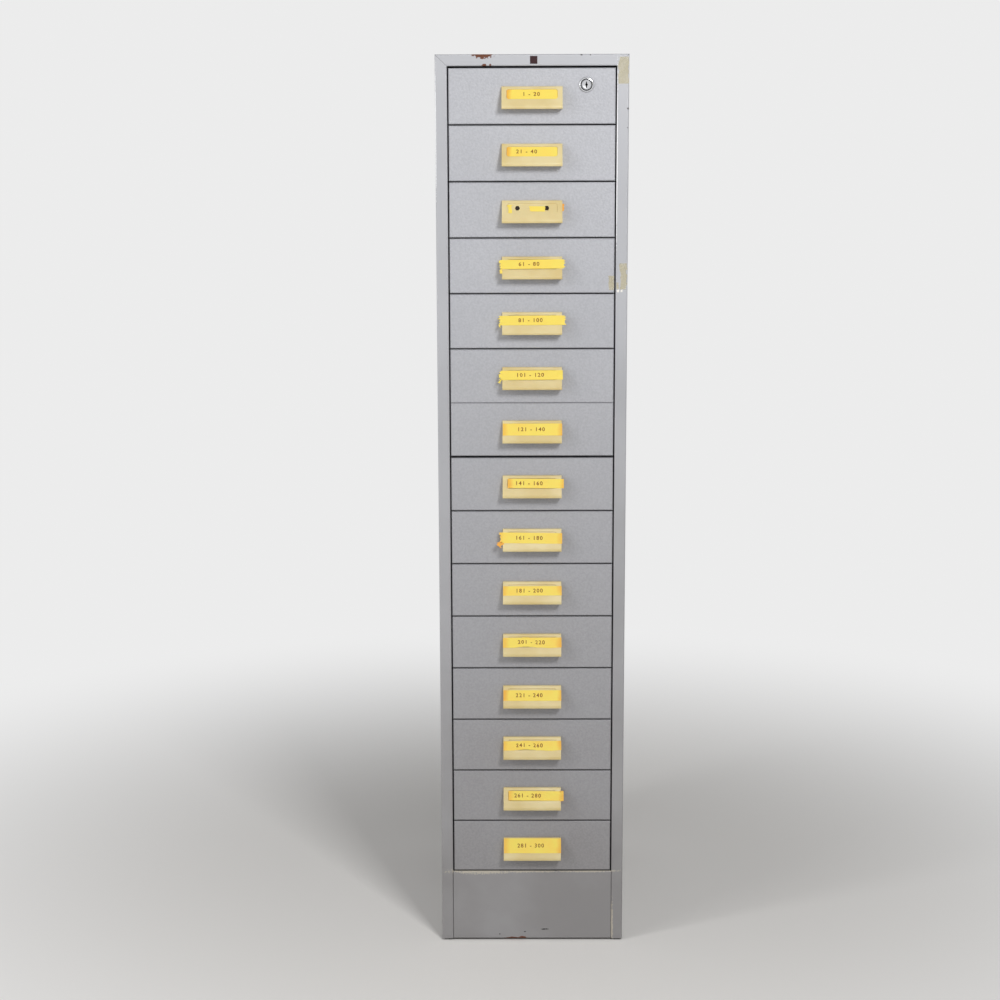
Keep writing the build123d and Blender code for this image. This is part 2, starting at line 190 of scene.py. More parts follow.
# Painted highlights: bright lines along the right stile's inner fold and the left side's front fold, where the folds
# catch the light.
painted_fold_highlights = [
    ((123.1, front_face, top_level - 145.0), (0.9, 4, 130)),
    ((-139.4, front_face, top_level - 110.0), (0.6, 4, 90)),
]

FRONT_SKIN_MM = 1.0
SEAM_MM = 0.35
SEAM_SHARE = 0.7
RUST_GRAIN_MM = 2.0
WELD_PITCH_MM = 90.0
WELD_INSET_MM = 6.0
WELD_MM = 2.5
RAIL_FACE_MM = 16.7
STILE_FACE_MM = 17.5

cabinet_paint, tree, shader = new_material("smooth_stoved_enamel_grey")
place = add_node(tree, "ShaderNodeTexCoord").outputs["Object"]
cloud = add_node(tree, "ShaderNodeTexNoise", {"Vector": place, "Scale": 1000 / CLOUD_MM, "Detail": 4.0})
cloud_range = add_node(tree, "ShaderNodeMapRange", {0: cloud.outputs[0], 1: 0.35, 2: 0.7, 3: 0.0, 4: 1.0})
base = mix_colour(tree, cloud_range.outputs[0], srgb(CABINET_GREY), srgb(CABINET_GREY_WORN))
# Primer where the paint is rubbed through, and a painted highlight on one fold.
primer_and_highlight = any_mask(tree, [spot_mask(tree, place, *rub, ragged=0.6) for rub in primer_rubs_and_fold_highlight])
base = mix_colour(tree, primer_and_highlight, base, srgb(PRIMER_AND_HIGHLIGHT_PALE))
# Painted highlight along the folds.
fold_highlight = any_mask(tree, [spot_mask(tree, place, *fold, ragged=0.3) for fold in painted_fold_highlights])
base = mix_colour(tree, fold_highlight, base, srgb(PAINTED_HIGHLIGHT_WHITE))
speck = any_mask(tree, [spot_mask(tree, place, *dot) for dot in specks])
base = mix_colour(tree, speck, base, srgb(SPECK))
rust = any_mask(tree, [spot_mask(tree, place, *chip, ragged=0.28, grain_mm=3.5) for chip in rust_chips])
across = add_node(tree, "ShaderNodeSeparateXYZ", {0: place})
from_middle = add_node(tree, "ShaderNodeMath", {0: across.outputs[0]}, operation="ABSOLUTE")
# Painted shade on the folds behind the gaps round the drawer fronts, not on the outside.
gap_shade_limits = [
    (from_middle.outputs[0], "LESS_THAN", cabinet_half - OUTER_SKIN_MM),
    (across.outputs[2], "LESS_THAN", top_level - OUTER_SKIN_MM),
    (across.outputs[1], "GREATER_THAN", front_face + GAP_START_MM),
    (across.outputs[1], "LESS_THAN", front_face + GAP_END_MM),
]
gap_shade = GAP_SHADE_SHARE
for value, test, limit in gap_shade_limits:
    within = add_node(tree, "ShaderNodeMath", {0: value, 1: limit * MM}, operation=test)
    gap_shade = add_node(tree, "ShaderNodeMath", {0: gap_shade, 1: within.outputs[0]}, operation="MULTIPLY").outputs[0]
base = mix_colour(tree, gap_shade, base, srgb(GAP_PAINTED_SHADE))
# The seam of each mitre runs from the corner of the opening to the corner of the cabinet.
mitre_level = add_node(tree, "ShaderNodeMapRange", {
    0: from_middle.outputs[0], 1: (cabinet_half - STILE_FACE_MM) * MM, 2: cabinet_half * MM,
    3: (top_level - RAIL_FACE_MM) * MM, 4: top_level * MM}, clamp=False)
off_mitre = add_node(tree, "ShaderNodeMath", {0: across.outputs[2], 1: mitre_level.outputs[0]}, operation="SUBTRACT")
distance = add_node(tree, "ShaderNodeMath", {0: off_mitre.outputs[0]}, operation="ABSOLUTE")
near_seam = add_node(tree, "ShaderNodeMath", {0: distance.outputs[0], 1: SEAM_MM * MM}, operation="LESS_THAN")
on_front = add_node(tree, "ShaderNodeMath", {0: across.outputs[1], 1: (front_face + FRONT_SKIN_MM) * MM},
                    operation="LESS_THAN")
seam = add_node(tree, "ShaderNodeMath", {0: near_seam.outputs[0], 1: on_front.outputs[0]}, operation="MULTIPLY")
seam_share = add_node(tree, "ShaderNodeMath", {0: seam.outputs[0], 1: SEAM_SHARE}, operation="MULTIPLY")
base = mix_colour(tree, seam_share.outputs[0], base, srgb(SPECK))
# Darker towards the floor: partly dust, partly painted shade of the light falling off.
base = mix_colour(tree, floor_dust_and_shade(tree, place), base, srgb(FLOOR_DUST_AND_SHADE), "MULTIPLY")
rust_grain = add_node(tree, "ShaderNodeTexNoise", {"Vector": place, "Scale": 1000 / RUST_GRAIN_MM, "Detail": 4.0})
rust_colour = mix_colour(tree, rust_grain.outputs[0], srgb(RUST_DARK), srgb(RUST))
base = mix_colour(tree, rust, base, rust_colour)
tree.links.new(base, shader.inputs["Base Color"])
worn_through_and_highlight = any_mask(tree, [rust, primer_and_highlight])
roughness = add_node(tree, "ShaderNodeMapRange", {0: worn_through_and_highlight, 1: 0.0, 2: 1.0, 3: 0.48, 4: 0.9})
tree.links.new(roughness.outputs[0], shader.inputs["Roughness"])
flake = add_node(tree, "ShaderNodeMapRange", {0: worn_through_and_highlight, 1: 0.0, 2: 1.0, 3: ALUMINIUM_FLAKE, 4: 0.0})
tree.links.new(flake.outputs[0], shader.inputs["Metallic"])
peel = add_node(tree, "ShaderNodeTexNoise", {"Vector": place, "Scale": 1000 / ORANGE_PEEL_MM, "Detail": 2.0})
bump = add_node(tree, "ShaderNodeBump", {"Height": peel.outputs[0], "Strength": 0.10, "Distance": 0.0004})
# Spot welds show as shallow round dents in a row along each rear flange.
in_row = add_node(tree, "ShaderNodeMath", {0: across.outputs[2], 1: WELD_PITCH_MM / 2 * MM}, operation="PINGPONG")
off_flange = add_node(tree, "ShaderNodeMath", {0: from_middle.outputs[0], 1: (cabinet_half - WELD_INSET_MM) * MM},
                      operation="SUBTRACT")
weld_place = add_node(tree, "ShaderNodeCombineXYZ", {0: in_row.outputs[0], 1: off_flange.outputs[0]})
weld_reach = add_node(tree, "ShaderNodeVectorMath", {0: weld_place.outputs[0]}, operation="LENGTH")
weld_dent = add_node(tree, "ShaderNodeMapRange", {0: weld_reach.outputs[1], 1: 0.6 * WELD_MM * MM, 2: WELD_MM * MM,
                                                  3: 0.0, 4: 1.0}, interpolation_type="SMOOTHSTEP")
at_back = add_node(tree, "ShaderNodeMath", {0: across.outputs[1], 1: 0.0}, operation="LESS_THAN")
weld_dent = add_node(tree, "ShaderNodeMath", {0: weld_dent.outputs[0], 1: at_back.outputs[0]}, operation="MAXIMUM")
weld_bump = add_node(tree, "ShaderNodeBump", {"Height": weld_dent.outputs[0], "Strength": 0.5, "Distance": 0.0006,
                                              "Normal": bump.outputs[0]})
tree.links.new(weld_bump.outputs[0], shader.inputs["Normal"])

for name in ("side_left", "side_right", "top_panel", "back_panel", "base_pan", "plinth",
             "runners_left", "runners_right", "rear_uprights"):
    nodes[name].data.materials.clear()
    nodes[name].data.materials.append(cabinet_paint)

# ---------------------------------------------------------------------------
# Drawers
# Each is a folded tray with a pan for its front. The fronts have a wrinkle-finish enamel,
# stoved so that the skin crinkles; it catches the light as fine mottling.
# ---------------------------------------------------------------------------

DRAWER_GREY = "#B3B4B9"
DRAWER_GREY_DARK = "#A9AAAF"
WRINKLE_MM = 3.0
FRONT_DEPTH_MM = 14.0
CLOUD_SHARE = 0.10

drawer_paint, tree, shader = new_material("wrinkle_stoved_enamel_grey")
place = add_node(tree, "ShaderNodeTexCoord").outputs["Object"]
cloud = add_node(tree, "ShaderNodeTexNoise", {"Vector": place, "Scale": 1000 / CLOUD_MM, "Detail": 4.0})
wrinkle = add_node(tree, "ShaderNodeTexNoise", {"Vector": place, "Scale": 1000 / WRINKLE_MM, "Detail": 3.0,
                                                "Roughness": 0.6})
mottle = add_node(tree, "ShaderNodeMapRange", {0: wrinkle.outputs[0], 1: 0.35, 2: 0.65, 3: 0.0, 4: 1.0})
base = mix_colour(tree, mottle.outputs[0], srgb(DRAWER_GREY_DARK), srgb(DRAWER_GREY))
base = mix_colour(tree, CLOUD_SHARE, base, cloud.outputs[0], "OVERLAY")
# Darker towards the floor: partly dust, partly painted shade of the light falling off.
base = mix_colour(tree, floor_dust_and_shade(tree, place), base, srgb(FLOOR_DUST_AND_SHADE), "MULTIPLY")
tree.links.new(base, shader.inputs["Base Color"])
shader.inputs["Roughness"].default_value = 0.48
shader.inputs["Metallic"].default_value = ALUMINIUM_FLAKE
depth = add_node(tree, "ShaderNodeSeparateXYZ", {0: place})
on_front = add_node(tree, "ShaderNodeMapRange", {0: depth.outputs[1], 1: (front_face + FRONT_DEPTH_MM) * MM,
                                                 2: (front_face + FRONT_DEPTH_MM + 1) * MM, 3: 0.35, 4: 0.05})
bump = add_node(tree, "ShaderNodeBump", {"Height": wrinkle.outputs[0], "Strength": on_front.outputs[0],
                                         "Distance": 0.0008})
tree.links.new(bump.outputs[0], shader.inputs["Normal"])

drawer_names = sorted(name[:-4] for name in nodes if name.startswith("drawer_") and name.endswith("_box"))
for drawer in drawer_names:
    box = nodes[drawer + "_box"]
    box.data.materials.clear()
    box.data.materials.append(drawer_paint)

# ---------------------------------------------------------------------------
# Label pulls
# Injection-moulded polystyrene in cream, gone yellow with age, with a hood for the
# fingers and a sunk window for the label. Two screws go through it into the drawer front.
# ---------------------------------------------------------------------------

CREAM = "#DACA99"
CREAM_AGED = "#CDB87E"
AGEING_MM = 60.0

pull_plastic, tree, shader = new_material("aged_cream_polystyrene")
place = add_node(tree, "ShaderNodeTexCoord").outputs["Object"]
ageing = add_node(tree, "ShaderNodeTexNoise", {"Vector": place, "Scale": 1000 / AGEING_MM, "Detail": 3.0})
ageing_range = add_node(tree, "ShaderNodeMapRange", {0: ageing.outputs[0], 1: 0.35, 2: 0.65, 3: 0.0, 4: 1.0})
base = mix_colour(tree, ageing_range.outputs[0], srgb(CREAM), srgb(CREAM_AGED))
tree.links.new(base, shader.inputs["Base Color"])
shader.inputs["Roughness"].default_value = 0.38
shader.inputs["Subsurface Weight"].default_value = 0.15
shader.inputs["Subsurface Radius"].default_value = (0.004, 0.003, 0.0015)
shader.inputs["Subsurface Scale"].default_value = 1.0

PULL_ROUND_MM = 0.5
SCREW_SPACING_MM = 42.6
SCREW_DROP_MM = 11.0
SCREW_HOLE_MM = 3.0


def round_edges(piece, radius_mm):
    """Moulded or pressed edges: a small rounding on a piece that is drawn sharp."""
    weld = piece.modifiers.new("weld", "WELD")
    weld.merge_threshold = 0.000005
    rounding = piece.modifiers.new("rounding", "BEVEL")
    rounding.width = radius_mm * MM
    rounding.segments = 2
    rounding.limit_method = "ANGLE"
    rounding.angle_limit = radians(28)
    rounding.harden_normals = True


blackened_steel_and_hole_shade, tree, shader = new_material("blackened_steel_and_hole_shade")
shader.inputs["Base Color"].default_value = srgb("#2B2320")
shader.inputs["Metallic"].default_value = 0.6
shader.inputs["Roughness"].default_value = 0.5

for drawer in drawer_names:
    pull = nodes[drawer + "_pull"]
    pull.data.materials.clear()
    pull.data.materials.append(pull_plastic)
    pull.data.materials.append(blackened_steel_and_hole_shade)
    round_edges(pull, PULL_ROUND_MM)
    pull_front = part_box(drawer + "_pull")[0].y
    screw_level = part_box(drawer + "_pull")[1].z - SCREW_DROP_MM * MM
    # The screws take the dark steel, and so do the walls of their holes in the cream plastic, where it is painted
    # shade.
    for face in pull.data.polygons:
        off_axis = Vector((abs(face.center.x) - SCREW_SPACING_MM / 2 * MM, face.center.z - screw_level))
        behind_front = face.center.y > pull_front + PULL_ROUND_MM / 2 * MM
        face.material_index = 1 if off_axis.length < SCREW_HOLE_MM * MM and behind_front else 0

# ---------------------------------------------------------------------------
# Paper labels
# Strips of yellow paper, cut by hand and slid into the pulls' windows. Most are too long:
# they lie over the window and stick out at the ends, and some are torn or folded there.
# Each carries a plain range of numbers in brown ink.
# ---------------------------------------------------------------------------

YELLOW = "#F1D65B"
YELLOW_WARM = "#F5CA54"
PAPER_ORANGE = "#E9A338"
INK = "#7C4A16"
PAPER_CLOUD_MM = 25.0
PAPER_MM = 0.25
PAPER_GAP_MM = 0.05
NUMBER_MM = 8.4
NUMBER_BOLD_MM = 0.14
NUMBER_OFFSET_MM = -4.0
INK_MM = 0.05
WINDOW_DEPTH_MM = 1.2
CARD_MM = 0.4
PULL_SLOPE = atan2(20.8, 11.5)
PULL_HALF_MM = 44.0
STICKS_OUT_MM = 0.8
SCRAP_TEAR_MM = 2.5
TOOTH_ROWS = 8
STRIP_COLUMNS = 44
NUMBERS_PER_DRAWER = 20


def paper_finish(name, warm_share, left_share, right_share):
    """Yellow paper. The shares say how much it has darkened, and how orange its two ends are."""
    made, tree, shader = new_material(name)
    coord = add_node(tree, "ShaderNodeTexCoord")
    place = coord.outputs["Object"]
    warm = add_node(tree, "ShaderNodeTexNoise", {"Vector": place, "Scale": 1000 / PAPER_CLOUD_MM, "Detail": 2.0})
    warm_range = add_node(tree, "ShaderNodeMapRange", {0: warm.outputs[0], 1: 0.40, 2: 0.75, 3: 0.0, 4: warm_share})
    base = mix_colour(tree, warm_range.outputs[0], srgb(YELLOW), srgb(YELLOW_WARM))
    along = add_node(tree, "ShaderNodeSeparateXYZ", {0: coord.outputs["UV"]})
    rough_edge = add_node(tree, "ShaderNodeMath", {0: warm.outputs[0], 1: 0.14, 2: along.outputs[0]},
                          operation="MULTIPLY_ADD")
    for near, far, share in ((0.10, 0.17, left_share), (1.06, 0.98, right_share)):
        at_end = add_node(tree, "ShaderNodeMapRange", {0: rough_edge.outputs[0], 1: near, 2: far, 3: share, 4: 0.0})
        base = mix_colour(tree, at_end.outputs[0], base, srgb(PAPER_ORANGE))
    tree.links.new(base, shader.inputs["Base Color"])
    shader.inputs["Roughness"].default_value = 0.6
    shader.inputs["Subsurface Weight"].default_value = 0.1
    shader.inputs["Subsurface Radius"].default_value = (0.002, 0.001, 0.0004)
    shader.inputs["Subsurface Scale"].default_value = 1.0
    fibre = add_node(tree, "ShaderNodeTexNoise", {"Vector": place, "Scale": 1500.0, "Detail": 3.0})
    bump = add_node(tree, "ShaderNodeBump", {"Height": fibre.outputs[0], "Strength": 0.15, "Distance": 0.0002})
    tree.links.new(bump.outputs[0], shader.inputs["Normal"])
    return made


label_paper = paper_finish("yellow_paper", 0.3, 0.0, 0.0)
label_paper_stained = paper_finish("yellow_paper_stained_at_left", 0.5, 0.8, 0.0)
label_paper_stained_wide = paper_finish("yellow_paper_stained_at_both_ends", 0.5, 0.8, 0.7)
label_paper_old = paper_finish("yellow_paper_darkened", 0.9, 0.5, 0.7)

orange_paper, tree, shader = new_material("orange_paper")
shader.inputs["Base Color"].default_value = srgb(PAPER_ORANGE)
shader.inputs["Roughness"].default_value = 0.6

brown_ink, tree, shader = new_material("brown_ink")
shader.inputs["Base Color"].default_value = srgb(INK)
shader.inputs["Roughness"].default_value = 0.7

dice = random.Random(15)


def select_faces(piece, wanted):
    """Selects the faces whose middle passes the test, and opens the mesh for editing."""
    for edge in piece.data.edges:
        edge.select = False
    for vertex in piece.data.vertices:
        vertex.select = False
    for face in piece.data.polygons:
        face.select = wanted(face.center)
    bpy.ops.object.mode_set(mode="EDIT")
    bpy.ops.mesh.select_mode(type="FACE")


def tear_end(piece, end, outward, depth, low, high):
    """Tears one end of a flat strip: each row of its grid gets a slanted cut of its own."""
    row = (high - low) / TOOTH_ROWS
    for at in range(TOOTH_ROWS):
        floor_line = low + at * row
        select_faces(piece, lambda middle: floor_line < middle.y < floor_line + row)
        cut = end - outward * dice.uniform(0, depth * MM)
        bpy.ops.mesh.bisect(plane_co=(cut, floor_line + row / 2, 0), plane_no=(outward, dice.uniform(-0.8, 0.8), 0),
                            clear_outer=True)
        bpy.ops.object.mode_set(mode="OBJECT")


def flat_strip(ends, edges, torn=(0, 0)):
    """A strip of paper lying flat, drawn as a grid, torn at its ends where asked."""
    left, right = (end * MM for end in ends)
    low, high = (edge * MM for edge in edges)
    bpy.ops.mesh.primitive_grid_add(x_subdivisions=STRIP_COLUMNS, y_subdivisions=TOOTH_ROWS, size=1)
    strip = bpy.context.object
    strip.scale = (right - left, high - low, 1)
    strip.location = ((left + right) / 2, (low + high) / 2, 0)
    bpy.ops.object.transform_apply(location=True, rotation=False, scale=True)
    if torn[0]:
        tear_end(strip, left, -1, torn[0], low, high)
    if torn[1]:
        tear_end(strip, right, 1, torn[1], low, high)
    return strip


def select_vertices(piece, wanted):
    """Selects the vertices whose place passes the test, and opens the mesh for editing."""
    for face in piece.data.polygons:
        face.select = False
    for edge in piece.data.edges:
        edge.select = False
    for vertex in piece.data.vertices:
        vertex.select = wanted(vertex.co)
    bpy.ops.object.mode_set(mode="EDIT")
    bpy.ops.mesh.select_mode(type="VERT")


def pull_up(piece, at, reach, lift):
    """Lifts the paper round one place, in three steps that each reach less far."""
    for share in (1.0, 0.66, 0.33):
        select_vertices(piece, lambda place: (place - Vector(at)).length < reach * share)
        bpy.ops.transform.translate(value=[step / 3 for step in lift])
        bpy.ops.object.mode_set(mode="OBJECT")


def thicken(piece, thickness_mm=PAPER_MM):
    """Gives flat paper or tape its thickness."""
    solid = piece.modifiers.new("thickness", "SOLIDIFY")
    solid.thickness = thickness_mm * MM
    solid.offset = 0
    bpy.ops.object.modifier_apply(modifier=solid.name)


def scrap(ends, edges, turn, finish):
    """A small torn piece of paper, lying flat on its own."""
    piece = flat_strip(ends, edges, torn=(SCRAP_TEAR_MM, SCRAP_TEAR_MM))
    bpy.ops.transform.rotate(value=radians(turn), orient_axis="Z",
                             center_override=(sum(ends) / 2 * MM, sum(edges) / 2 * MM, 0))
    bpy.ops.object.transform_apply(location=True, rotation=True, scale=False)
    thicken(piece)
    piece.data.materials.append(finish)
    return piece


def join_all(pieces, name):
    """One object out of several; the first gives it its place."""
    bpy.ops.object.select_all(action="DESELECT")
    for piece in pieces:
        piece.select_set(True)
    bpy.context.view_layer.objects.active = pieces[0]
    if len(pieces) > 1:
        bpy.ops.object.join()
    pieces[0].name = name
    return pieces[0]


def put_on_slope(piece, drawer, height_mm, turn=0.0):
    """Lays a flat piece on the slope of a drawer's pull, so far above the floor of its window."""
    low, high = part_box(drawer + "_label")
    middle = (low + high) / 2
    lean = Matrix.Rotation(PULL_SLOPE, 4, "X")
    outward = lean @ Vector((0, 0, 1))
    lift = (height_mm - CARD_MM / 2) * MM
    piece.matrix_world = Matrix.Translation(middle + outward * lift) @ lean @ Matrix.Rotation(radians(turn), 4, "Z")
    bpy.ops.object.select_all(action="DESELECT")
    piece.select_set(True)
    bpy.context.view_layer.objects.active = piece
    bpy.ops.object.transform_apply(location=True, rotation=True, scale=True)


def number_range(drawer_number, at_mm, height_mm):
    """The drawer's range of plain numbers, as a thin layer of ink."""
    last = drawer_number * NUMBERS_PER_DRAWER
    bpy.ops.object.text_add()
    numbers = bpy.context.object
    numbers.data.body = f"{last - NUMBERS_PER_DRAWER + 1} - {last}"
    numbers.data.size = NUMBER_MM * MM
    numbers.data.space_character = 1.25
    numbers.data.align_x = "CENTER"
    numbers.data.align_y = "CENTER"
    numbers.data.offset = NUMBER_BOLD_MM * MM
    numbers.data.extrude = INK_MM * MM
    numbers.data.resolution_u = 3
    numbers.location = (at_mm * MM, height_mm * MM, (PAPER_MM / 2 + INK_MM) * MM)
    bpy.ops.object.convert(target="MESH")
    bpy.ops.object.transform_apply(location=True, rotation=False, scale=False)
    numbers.data.materials.append(brown_ink)
    return numbers


# Ends along the pull and edges along the slope, from the window's middle, and the strip's turn.
strips = {
    1: {"ends": (-36.6, 36.6), "edges": (-7.6, 7.6), "turn": 0.0, "inside": True, "paper": label_paper_stained},
    2: {"ends": (-36.6, 36.6), "edges": (-7.6, 7.4), "turn": -0.2, "inside": True, "paper": label_paper_stained},
    4: {"ends": (-50.5, 48.6), "edges": (-7.0, 7.4), "turn": 0.6, "torn": (3.2, 0.6), "paper": label_paper},
    5: {"ends": (-51.5, 50.2), "edges": (-8.2, 6.8), "turn": 0.3, "torn": (3.6, 1.0), "paper": label_paper},
    6: {"ends": (-51.0, 45.2), "edges": (-7.6, 7.2), "turn": 0.4, "torn": (3.0, 0.0), "paper": label_paper},
    7: {"ends": (-43.6, 44.6), "edges": (-11.0, 7.8), "turn": 0.0, "paper": label_paper_old},
    8: {"ends": (-36.4, 47.2), "edges": (-7.4, 7.2), "turn": -0.4, "paper": label_paper_stained_wide},
    9: {"ends": (-51.5, 45.0), "edges": (-10.4, 6.2), "turn": -0.8, "torn": (3.6, 0.0), "paper": label_paper_old},
    10: {"ends": (-43.8, 44.4), "edges": (-9.2, 5.4), "turn": 0.2, "paper": label_paper_old},
    11: {"ends": (-44.2, 44.4), "edges": (-8.8, 6.6), "turn": 0.3, "wavy": True, "paper": label_paper_old},
    12: {"ends": (-43.8, 44.2), "edges": (-11.0, 5.4), "turn": 0.0, "paper": label_paper_stained_wide},
    13: {"ends": (-43.8, 44.4), "edges": (-8.4, 6.0), "turn": 0.4, "wavy": True, "paper": label_paper_old},
    14: {"ends": (-36.4, 48.2), "edges": (-7.6, 7.2), "turn": -0.5, "paper": label_paper_old},
    15: {"ends": (-43.6, 44.4), "edges": (-11.2, 11.6), "turn": 0.0, "paper": label_paper_old},
}

# Loose ends: bits that hang from a strip's torn end, or stick out from behind it.
loose_ends = {
    4: [((-49.0, -42.5), (-14.0, -6.0), 12.0, label_paper_old)],
    5: [((-50.0, -44.5), (-12.0, -6.5), -10.0, label_paper)],
    6: [((-50.5, -44.0), (-12.5, -6.0), 24.0, label_paper)],
    9: [((-53.0, -42.4), (-16.2, -7.8), 38.0, orange_paper)],
    14: [((40.0, 48.6), (-8.2, 7.6), -3.0, orange_paper)],
}

for number, strip_sizes in strips.items():
    drawer = f"drawer_{number:02d}"
    ends, edges = strip_sizes["ends"], strip_sizes["edges"]
    strip = flat_strip(ends, edges, strip_sizes.get("torn", (0, 0)))
    middle = (edges[0] + edges[1]) / 2 * MM
    thicken(strip)
    strip.data.materials.append(strip_sizes["paper"])
    numbers = number_range(number, NUMBER_OFFSET_MM + dice.uniform(-4, 3), (edges[0] + edges[1]) / 2)
    strip = join_all([strip, numbers], strip.name)
    # Some lower edges have dried into waves, and an end that sticks out curls off the pull.
    if strip_sizes.get("wavy"):
        pull_up(strip, (-0.010, edges[0] * MM, 0), 0.016, (0, 0.0015, 0.0002))
        pull_up(strip, (0.028, edges[0] * MM, 0), 0.012, (0, -0.0008, 0.0002))
    for end in ends:
        if abs(end) > PULL_HALF_MM + STICKS_OUT_MM:
            pull_up(strip, (end * MM, middle, 0), 0.007, (0, 0, dice.choice((0.0004, 0.0007))))
    pieces = [strip]
    for loose_end in loose_ends.get(number, []):
        pieces.append(scrap(*loose_end))
    label = join_all(pieces, f"label_{number:02d}")
    height_mm = CARD_MM / 2 if strip_sizes.get("inside") else WINDOW_DEPTH_MM + PAPER_MM / 2 + PAPER_GAP_MM
    put_on_slope(label, drawer, height_mm, strip_sizes["turn"])
    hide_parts(drawer + "_label")
    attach(label, drawer)

# The third label has come off. Two scraps still stick to the window, and one behind the pull.
remnants = [
    scrap((-36.6, -27.6), (-7.4, 5.8), 0.0, label_paper_old),
    scrap((-5.0, 21.0), (-4.8, 3.4), 1.0, label_paper),
    scrap((40.0, 48.4), (-4.6, 7.4), 4.0, orange_paper),
]
torn_label = join_all(remnants, "label_03")
put_on_slope(torn_label, "drawer_03", CARD_MM / 2)
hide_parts("drawer_03_label")
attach(torn_label, "drawer_03")

# ---------------------------------------------------------------------------
# Cam lock
# A turned and chromed brass barrel with a grooved face ring, held by a nut behind the drawer
# front. The plug turns in it with the key and swings the zinc-plated cam behind the rail.
# ---------------------------------------------------------------------------

LOCK_CENTRE = (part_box("lock_barrel")[0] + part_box("lock_barrel")[1]) / 2
LOCK_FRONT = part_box("lock_barrel")[0].y
BARREL_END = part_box("lock_barrel")[1].y - LOCK_FRONT
CAM_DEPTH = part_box("lock_cam")[0].y - LOCK_FRONT
PLUG_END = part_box("lock_plug")[1].y - LOCK_FRONT
RING_MM = 10.7
BARREL_MM = 9.0
BORE_MM = 6.6
PLUG_MM = 6.5
TAIL_MM = 4.9
LATHE_STEPS = 72

chrome, tree, shader = new_material("chrome_plate")
shader.inputs["Base Color"].default_value = srgb("#DCDDE0")
shader.inputs["Metallic"].default_value = 1.0
shader.inputs["Roughness"].default_value = 0.14

zinc, tree, shader = new_material("zinc_plated_steel")
shader.inputs["Base Color"].default_value = srgb("#A9AAAC")
shader.inputs["Metallic"].default_value = 1.0
shader.inputs["Roughness"].default_value = 0.38

painted_groove_shade, tree, shader = new_material("painted_shade_in_grooves")
shader.inputs["Base Color"].default_value = srgb("#2A2826")
shader.inputs["Roughness"].default_value = 0.8


def turned(name, outline):
    """A turned piece on the lock's axis. The outline runs in millimetres: radius, depth behind the face."""
    points = []
    for radius, depth in outline:
        points.append(Vector((LOCK_CENTRE.x + radius * MM, LOCK_FRONT + depth * MM, LOCK_CENTRE.z)))
    bpy.ops.mesh.primitive_plane_add(size=MM, location=points[0])
    piece = bpy.context.object
    piece.name = name
    bpy.ops.object.transform_apply(location=True, rotation=False, scale=False)
    bpy.ops.object.mode_set(mode="EDIT")
    bpy.ops.mesh.select_mode(type="VERT")
    bpy.ops.mesh.select_all(action="SELECT")
    bpy.ops.mesh.merge(type="CENTER")
    for start, end in zip(points, points[1:]):
        bpy.ops.mesh.extrude_region_move(TRANSFORM_OT_translate={"value": end - start})
    bpy.ops.mesh.select_all(action="SELECT")
    bpy.ops.mesh.spin(steps=LATHE_STEPS, angle=2 * pi, center=(LOCK_CENTRE.x, LOCK_FRONT, LOCK_CENTRE.z),
                      axis=(0, 1, 0))
    bpy.ops.mesh.select_all(action="SELECT")
    bpy.ops.mesh.remove_doubles(threshold=0.000002)
    bpy.ops.mesh.normals_make_consistent(inside=False)
    bpy.ops.object.mode_set(mode="OBJECT")
    bpy.ops.object.shade_smooth_by_angle(angle=radians(35))
    return piece


def cut_slot(piece, width_mm, height_mm, depth_mm):
    """Cuts an upright slot into the face of a turned piece."""
    bpy.ops.mesh.primitive_cube_add(size=1, location=(LOCK_CENTRE.x, LOCK_FRONT, LOCK_CENTRE.z))
    cutter = bpy.context.object
    cutter.scale = (width_mm * MM, 2 * depth_mm * MM, height_mm * MM)
    bpy.ops.object.transform_apply(location=True, rotation=False, scale=True)
    bpy.context.view_layer.objects.active = piece
    cut = piece.modifiers.new("slot", "BOOLEAN")
    cut.operation = "DIFFERENCE"
    cut.object = cutter
    bpy.ops.object.modifier_apply(modifier=cut.name)
    bpy.data.objects.remove(cutter)


def paint_shade_inside(piece, inner_mm, outer_mm, depth_mm):
    """Painted shade on the faces between two radii, where they lie deeper than the face."""
    piece.data.materials.append(painted_groove_shade)
    for face in piece.data.polygons:
        radius = Vector((face.center.x - LOCK_CENTRE.x, face.center.z - LOCK_CENTRE.z)).length / MM
        deep = (face.center.y - LOCK_FRONT) / MM
        if inner_mm < radius < outer_mm and deep > depth_mm:
            face.material_index = len(piece.data.materials) - 1


barrel = turned("lock_barrel_turned", [
    (BORE_MM, 0.5), (BORE_MM + 0.3, 0.2), (7.1, 0.2), (7.3, 0.5), (7.3, 1.6), (8.6, 1.6), (8.6, 0.4), (9.0, 0.0),
    (9.7, 0.0), (RING_MM - 0.5, 0.3), (RING_MM - 0.3, 0.6), (RING_MM, 1.4), (RING_MM, 2.0), (BARREL_MM, 2.0),
    (BARREL_MM, BARREL_END / MM), (BORE_MM, BARREL_END / MM), (BORE_MM, 0.5)])
barrel.data.materials.append(chrome)
# Painted shade fills the groove and the corner round the ring's rim.
paint_shade_inside(barrel, 7.15, 8.8, 0.35)
paint_shade_inside(barrel, RING_MM - 0.3, RING_MM + 1, 0.7)
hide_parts("lock_barrel")
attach(barrel, "drawer_01")

plug = turned("lock_plug_turned", [
    (0.0, 0.7), (4.2, 0.5), (5.6, 0.1), (6.1, 0.1), (PLUG_MM, 0.5), (PLUG_MM, CAM_DEPTH / MM),
    (TAIL_MM, CAM_DEPTH / MM), (TAIL_MM, PLUG_END / MM), (0.0, PLUG_END / MM)])
plug.data.materials.append(chrome)
